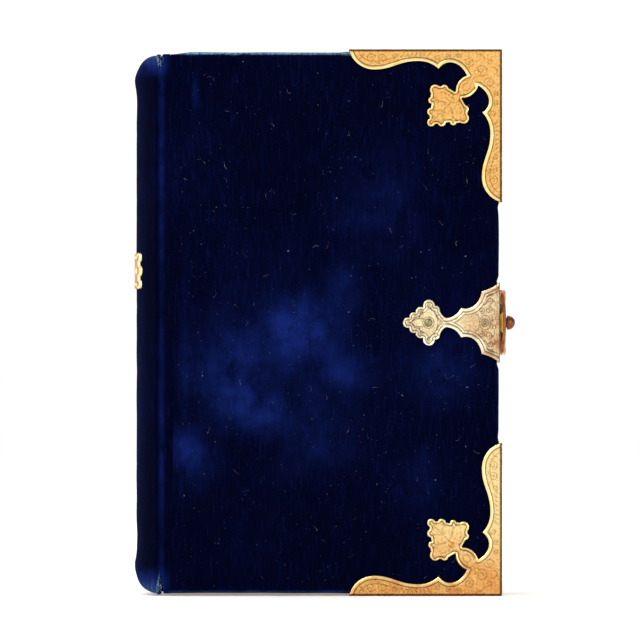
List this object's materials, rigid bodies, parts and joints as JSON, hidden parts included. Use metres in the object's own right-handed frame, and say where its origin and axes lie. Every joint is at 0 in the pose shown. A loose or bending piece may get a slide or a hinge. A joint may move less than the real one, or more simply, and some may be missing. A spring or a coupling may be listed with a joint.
{
  "type": "prayer book",
  "caption": "Small velvet-bound prayer book with pierced brass corners, a snap clasp on the fore-edge, opening covers and turning leaves.",
  "frame": {"origin": "middle of the whole book's footprint, on the surface that the tail edge stands on", "axes": "+Z from tail to head, +X from spine to fore-edge, -Y out of the front cover"},
  "size_m": [0.0972, 0.0307, 0.14],
  "materials": {
    "velvet": "dark blue cotton velvet, nap rubbed and shiny in patches",
    "millboard": "pressed grey millboard",
    "gilt_brass": "stamped and engraved brass with a worn gilt wash",
    "pale_brass": "stamped brass, gilt wash worn pale",
    "copper_brass": "brass with a copper tone, handled and darkened",
    "endpaper": "aged cream endpaper",
    "gilt_edged_paper": "thin aged paper with gilt edges",
    "mull": "open-weave cotton and hemp",
    "silk_band": "silk thread wound over a cord core"
  },
  "bodies": {
    "text_block": {"spine_velvet": "velvet", "spine_liner": "millboard", "spine_mull": "mull", "sewing_cords": "mull", "head_band": "silk_band", "tail_band": "silk_band", "gathering_1": "gilt_edged_paper", "gathering_2": "gilt_edged_paper", "gathering_3": "gilt_edged_paper", "gathering_4": "gilt_edged_paper", "gathering_5": "gilt_edged_paper", "gathering_6": "gilt_edged_paper", "sewn_folds": "gilt_edged_paper", "back_flyleaf": "endpaper", "spine_plaque": "gilt_brass", "plaque_nails": "gilt_brass"},
    "front_cover": {"front_board": "millboard", "front_velvet": "velvet", "front_pastedown": "endpaper", "front_head_corner": "gilt_brass", "front_tail_corner": "gilt_brass", "front_corner_nails": "gilt_brass", "catch_plate": "pale_brass", "catch_rivet": "pale_brass"},
    "back_cover": {"back_board": "millboard", "back_velvet": "velvet", "back_pastedown": "endpaper", "back_head_corner": "gilt_brass", "back_tail_corner": "gilt_brass", "back_corner_nails": "gilt_brass", "anchor_plate": "pale_brass", "anchor_rivet": "pale_brass", "hinge_pin": "pale_brass"},
    "hasp": {"hasp": "copper_brass", "thumb_knob": "copper_brass", "latch_spring": "pale_brass"},
    "front_flyleaf_body": {"front_flyleaf": "endpaper"},
    "leaves_1_body": {"leaves_1": "gilt_edged_paper"},
    "leaves_2_body": {"leaves_2": "gilt_edged_paper"},
    "leaves_3_body": {"leaves_3": "gilt_edged_paper"},
    "leaves_4_body": {"leaves_4": "gilt_edged_paper"}
  },
  "joints": [
    {"name": "front_cover_hinge", "type": "hinge", "parent": "text_block", "child": "front_cover", "pos_m": [-0.04192, -0.01415, 0.07], "axis": [0, 0, -1], "range_deg": [0, 180]},
    {"name": "back_cover_hinge", "type": "hinge", "parent": "text_block", "child": "back_cover", "pos_m": [-0.04192, 0.01475, 0.07], "axis": [0, 0, 1], "range_deg": [0, 180]},
    {"name": "hasp_hinge", "type": "hinge", "parent": "back_cover", "child": "hasp", "pos_m": [0.04583, 0.013, 0.07], "axis": [0, 0, 1], "range_deg": [0, 170], "deforming": ["latch_spring"]},
    {"name": "front_flyleaf_turn", "type": "hinge", "parent": "text_block", "child": "front_flyleaf_body", "pos_m": [-0.04192, -0.01415, 0.07], "axis": [0, 0, -1], "range_deg": [0, 169.6]},
    {"name": "leaves_1_turn", "type": "hinge", "parent": "text_block", "child": "leaves_1_body", "pos_m": [-0.04192, -0.01415, 0.07], "axis": [0, 0, -1], "range_deg": [0, 148]},
    {"name": "leaves_2_turn", "type": "hinge", "parent": "text_block", "child": "leaves_2_body", "pos_m": [-0.04192, -0.01415, 0.07], "axis": [0, 0, -1], "range_deg": [0, 108.4]},
    {"name": "leaves_3_turn", "type": "hinge", "parent": "text_block", "child": "leaves_3_body", "pos_m": [-0.04192, -0.01415, 0.07], "axis": [0, 0, -1], "range_deg": [0, 65.2]},
    {"name": "leaves_4_turn", "type": "hinge", "parent": "text_block", "child": "leaves_4_body", "pos_m": [-0.04192, -0.01415, 0.07], "axis": [0, 0, -1], "range_deg": [0, 25.6]}
  ],
  "couplings": [
    {"joint": "front_flyleaf_turn", "follows": "front_cover_hinge", "ratio": 0.94},
    {"joint": "leaves_1_turn", "follows": "front_cover_hinge", "ratio": 0.82},
    {"joint": "leaves_2_turn", "follows": "front_cover_hinge", "ratio": 0.6},
    {"joint": "leaves_3_turn", "follows": "front_cover_hinge", "ratio": 0.36},
    {"joint": "leaves_4_turn", "follows": "front_cover_hinge", "ratio": 0.14}
  ]
}
